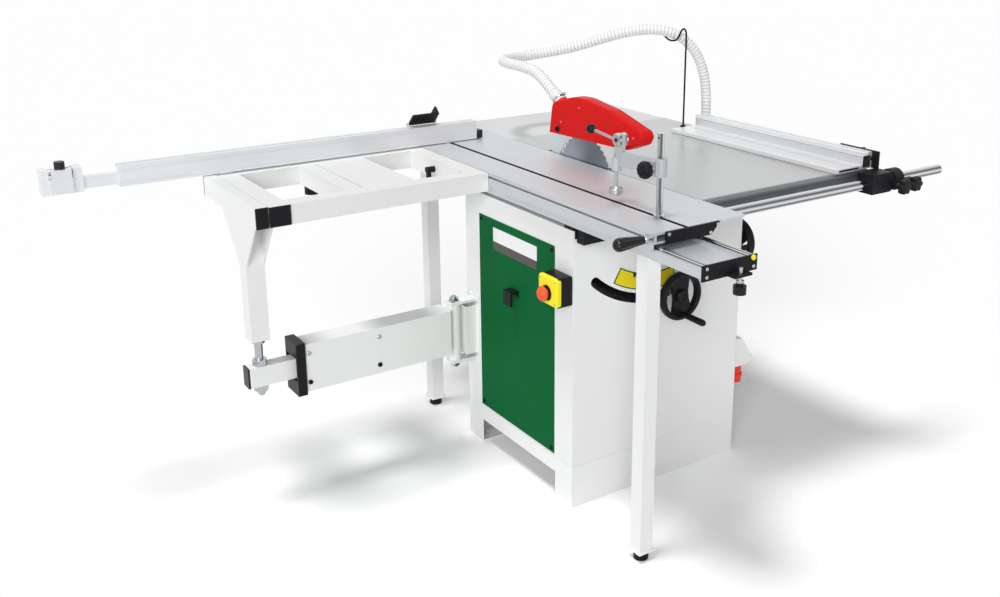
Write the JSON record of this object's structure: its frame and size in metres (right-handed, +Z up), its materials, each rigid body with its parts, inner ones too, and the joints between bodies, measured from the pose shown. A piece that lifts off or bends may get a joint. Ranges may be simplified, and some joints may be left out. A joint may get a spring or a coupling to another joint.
{
  "type": "sliding table saw",
  "caption": "Sliding table saw with tilting arbor, round-rod sliding table, outrigger on a telescopic swing arm, crosscut and rip fences, hold-down clamp, guard and dust hose",
  "frame": {"origin": "on the floor, at the centre of the four anchor holes in the cabinet base", "axes": "+Z up, +Y the way the work is fed, +X to the operator's right, away from the sliding table"},
  "size_m": [2.259, 1.586, 1.207],
  "materials": {
    "white_paint": "smooth white powder coat",
    "green_paint": "smooth dark green coat",
    "plate": "blank printed plate",
    "black_paint": "black coated steel",
    "black_plastic": "black moulded plastic",
    "yellow_plastic": "yellow moulded plastic",
    "red_plastic": "red moulded plastic",
    "yellow_print": "yellow printed scale",
    "cast_grey": "ground cast iron",
    "aluminium": "anodised extrusion",
    "bright_steel": "polished steel",
    "steel": "ground steel",
    "dark_cast": "dark cast iron",
    "rubber": "black rubber",
    "hose_plastic": "pale ribbed plastic",
    "inlet_plastic": "white moulded plastic"
  },
  "bodies": {
    "machine": {"cabinet": "white_paint", "side_panel": "green_paint", "name_plate": "plate", "stick_hook": "black_plastic", "switch_base": "black_plastic", "switch_cover": "yellow_plastic", "mains_inlet": "inlet_plastic", "main_table": "cast_grey", "rear_table": "white_paint", "front_rail": "aluminium", "fence_bar": "bright_steel", "beam": "aluminium", "guide_rods": "bright_steel", "beam_plates": "black_paint", "beam_legs": "white_paint", "leg_feet": "black_plastic", "arm_hinge": "white_paint", "dust_port": "black_plastic", "hose": "hose_plastic", "hose_hook": "black_paint", "tilt_scale": "yellow_print", "trunnion_brackets": "dark_cast"},
    "button": {"stop_button": "red_plastic"},
    "lock": {"slide_lock": "black_plastic"},
    "tilt_unit": {"cradle": "dark_cast"},
    "rise_drive": {"rise_wheel": "black_plastic"},
    "tilt_drive": {"tilt_wheel": "black_plastic"},
    "rise_unit": {"arbor_block": "dark_cast", "motor": "dark_cast", "belt": "rubber", "riving_knife": "steel", "guard": "red_plastic"},
    "arbor_spin": {"arbor": "steel", "saw_blade": "steel"},
    "motor_spin": {"motor_pulley": "steel"},
    "slide_unit": {"carriage": "aluminium", "guide_shoes": "black_plastic", "carriage_plates": "black_paint", "push_handle": "black_plastic", "clamp_post": "bright_steel", "outrigger": "white_paint", "outrigger_caps": "black_plastic", "outrigger_leg": "white_paint"},
    "clamp_head": {"clamp_arm": "dark_cast"},
    "clamp_screw": {"clamp_knob": "black_plastic"},
    "cam": {"cam_lever": "bright_steel"},
    "pad": {"clamp_pad": "steel"},
    "lever": {"outrigger_lever": "black_plastic"},
    "arm_outer": {"arm_box": "white_paint", "arm_collar": "black_plastic"},
    "arm_inner": {"arm_tube": "white_paint"},
    "crosscut": {"crosscut_fence": "aluminium"},
    "extension": {"fence_extension": "aluminium"},
    "stop_a": {"flip_stop": "black_plastic"},
    "stop_b": {"mid_stop": "black_paint"},
    "rip_head": {"fence_carrier": "black_paint"},
    "rip": {"rip_fence": "aluminium"},
    "rip_lock": {"fence_knob": "black_plastic"},
    "fine_lock": {"carrier_knob": "black_plastic"},
    "bar_lock": {"bar_knob": "black_plastic"}
  },
  "joints": [
    {"name": "tilt", "type": "hinge", "parent": "machine", "child": "tilt_unit", "pos_m": [-0.018, 0, 0.87], "axis": [0, 1, 0], "range_deg": [0, 45], "deforming": ["hose"]},
    {"name": "rise", "type": "slide", "parent": "tilt_unit", "child": "rise_unit", "axis": [0, 0, 1], "range_m": [-0.04, 0], "deforming": ["hose"]},
    {"name": "blade_turn", "type": "hinge", "parent": "rise_unit", "child": "arbor_spin", "pos_m": [-0.018, 0.059, 0.8225], "axis": [1, 0, 0], "continuous": true},
    {"name": "motor_turn", "type": "hinge", "parent": "rise_unit", "child": "motor_spin", "pos_m": [0.008, 0.059, 0.67], "axis": [1, 0, 0], "continuous": true},
    {"name": "rise_turn", "type": "hinge", "parent": "tilt_unit", "child": "rise_drive", "pos_m": [0.0305, -0.3, 0.56382], "axis": [0, 1, 0], "range_deg": [0, 230]},
    {"name": "tilt_turn", "type": "hinge", "parent": "machine", "child": "tilt_drive", "pos_m": [0.3, -0.225, 0.647], "axis": [1, 0, 0], "range_deg": [0, 1441]},
    {"name": "carriage_slide", "type": "slide", "parent": "machine", "child": "slide_unit", "axis": [0, 1, 0], "range_m": [-0.4, 0.2]},
    {"name": "arm_swing", "type": "hinge", "parent": "machine", "child": "arm_outer", "pos_m": [-0.366, 0.232, 0.366], "axis": [0, 0, 1], "range_deg": [-17.6, 35.2]},
    {"name": "arm_turn", "type": "hinge", "parent": "slide_unit", "child": "arm_inner", "pos_m": [-0.961, 0.232, 0.378], "axis": [0, 0, 1], "range_deg": [-17.6, 35.2]},
    {"name": "crosscut_pivot", "type": "hinge", "parent": "slide_unit", "child": "crosscut", "pos_m": [-0.212, 0.521, 0.87], "axis": [0, 0, 1], "range_deg": [-30, 45]},
    {"name": "extension_slide", "type": "slide", "parent": "crosscut", "child": "extension", "axis": [-1, 0, 0], "range_m": [-0.04, 0.3]},
    {"name": "stop_flip", "type": "hinge", "parent": "extension", "child": "stop_a", "pos_m": [-1.345, 0.517, 0.931], "axis": [-1, 0, 0], "range_deg": [0, 95]},
    {"name": "mid_flip", "type": "hinge", "parent": "crosscut", "child": "stop_b", "pos_m": [-0.29, 0.545, 0.935], "axis": [1, 0, 0], "range_deg": [-45, 40]},
    {"name": "clamp_height", "type": "slide", "parent": "slide_unit", "child": "clamp_head", "axis": [0, 0, 1], "range_m": [-0.01, 0.05]},
    {"name": "clamp_lock", "type": "hinge", "parent": "clamp_head", "child": "clamp_screw", "pos_m": [-0.25, -0.505, 0.992], "axis": [1, 0, 0], "range_deg": [0, 180]},
    {"name": "cam_turn", "type": "hinge", "parent": "clamp_head", "child": "cam", "pos_m": [-0.212, -0.351, 1.032], "axis": [1, 0, 0], "range_deg": [0, 100]},
    {"name": "pad_press", "type": "slide", "parent": "clamp_head", "child": "pad", "axis": [0, 0, 1], "range_m": [-0.0081, 0]},
    {"name": "lever_turn", "type": "hinge", "parent": "slide_unit", "child": "lever", "pos_m": [-0.378, 0.33, 0.842], "axis": [1, 0, 0], "range_deg": [-60, 60]},
    {"name": "fence_travel", "type": "slide", "parent": "machine", "child": "rip_head", "axis": [1, 0, 0], "range_m": [-0.3, 0.05]},
    {"name": "fence_reach", "type": "slide", "parent": "rip_head", "child": "rip", "axis": [0, 1, 0], "range_m": [-0.2, 0.015]},
    {"name": "fence_lock", "type": "hinge", "parent": "rip_head", "child": "rip_lock", "pos_m": [0.63, -0.398, 0.897], "axis": [1, 0, 0], "range_deg": [0, 180]},
    {"name": "fine_turn", "type": "hinge", "parent": "rip_head", "child": "fine_lock", "pos_m": [0.694, -0.54, 0.83], "axis": [0, 1, 0], "range_deg": [-180, 180]},
    {"name": "bar_turn", "type": "hinge", "parent": "rip_head", "child": "bar_lock", "pos_m": [0.638, -0.55, 0.83], "axis": [0, 1, 0], "range_deg": [-180, 180]},
    {"name": "stop_press", "type": "slide", "parent": "machine", "child": "button", "axis": [1, 0, 0], "range_m": [0, 0.006], "stiffness_N_per_m": 900},
    {"name": "lock_pull", "type": "slide", "parent": "machine", "child": "lock", "axis": [0, 0, 1], "range_m": [-0.012, 0], "stiffness_N_per_m": 700, "springref_m": 0.004}
  ],
  "couplings": [
    {"joint": "motor_turn", "follows": "blade_turn", "ratio": 0.66667},
    {"joint": "rise_turn", "follows": "rise", "rad_per_m": -100},
    {"joint": "tilt_turn", "follows": "tilt", "ratio": 32},
    {"joint": "arm_swing", "follows": "carriage_slide", "rad_per_m": -1.52},
    {"joint": "arm_turn", "follows": "carriage_slide", "rad_per_m": -1.52},
    {"joint": "pad_press", "follows": "cam_turn", "m_per_rad": -0.0046}
  ]
}
